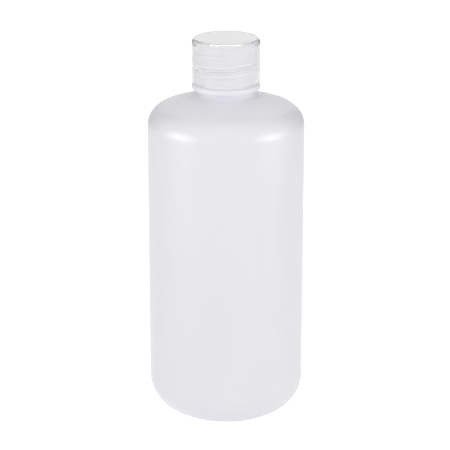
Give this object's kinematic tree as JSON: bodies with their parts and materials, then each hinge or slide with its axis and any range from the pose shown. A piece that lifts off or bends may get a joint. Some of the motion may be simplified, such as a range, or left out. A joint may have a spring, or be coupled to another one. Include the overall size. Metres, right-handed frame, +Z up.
{
  "type": "laboratory bottle",
  "caption": "Round narrow-mouth laboratory bottle in milky plastic with a rounded shoulder, neck ring and clear screw cap.",
  "frame": {"origin": "on the table, under the bottle's axis, in the plane of the standing ring", "axes": "+Z up the bottle's axis through the mouth; +X through the lower end of the neck's thread"},
  "size_m": [0.073, 0.073, 0.181],
  "materials": {
    "milky_plastic": "milky, satin, lets light through",
    "clear_plastic": "clear, glossy, slightly hazy",
    "liner_plastic": "clear, soft, smooth"
  },
  "bodies": {
    "bottle": {"bottle": "milky_plastic"},
    "liner_carrier": {"cap_liner": "liner_plastic"},
    "cap": {"screw_cap": "clear_plastic"}
  },
  "joints": [
    {"name": "cap_lift", "type": "slide", "parent": "bottle", "child": "liner_carrier", "axis": [0, 0, 1], "range_m": [0, 0.019]},
    {"name": "cap_turn", "type": "hinge", "parent": "liner_carrier", "child": "cap", "pos_m": [0, 0, 0.17], "axis": [0, 0, 1], "range_deg": [0, 1512]}
  ],
  "couplings": [
    {"joint": "cap_lift", "follows": "cap_turn", "m_per_rad": 0.0007162}
  ]
}
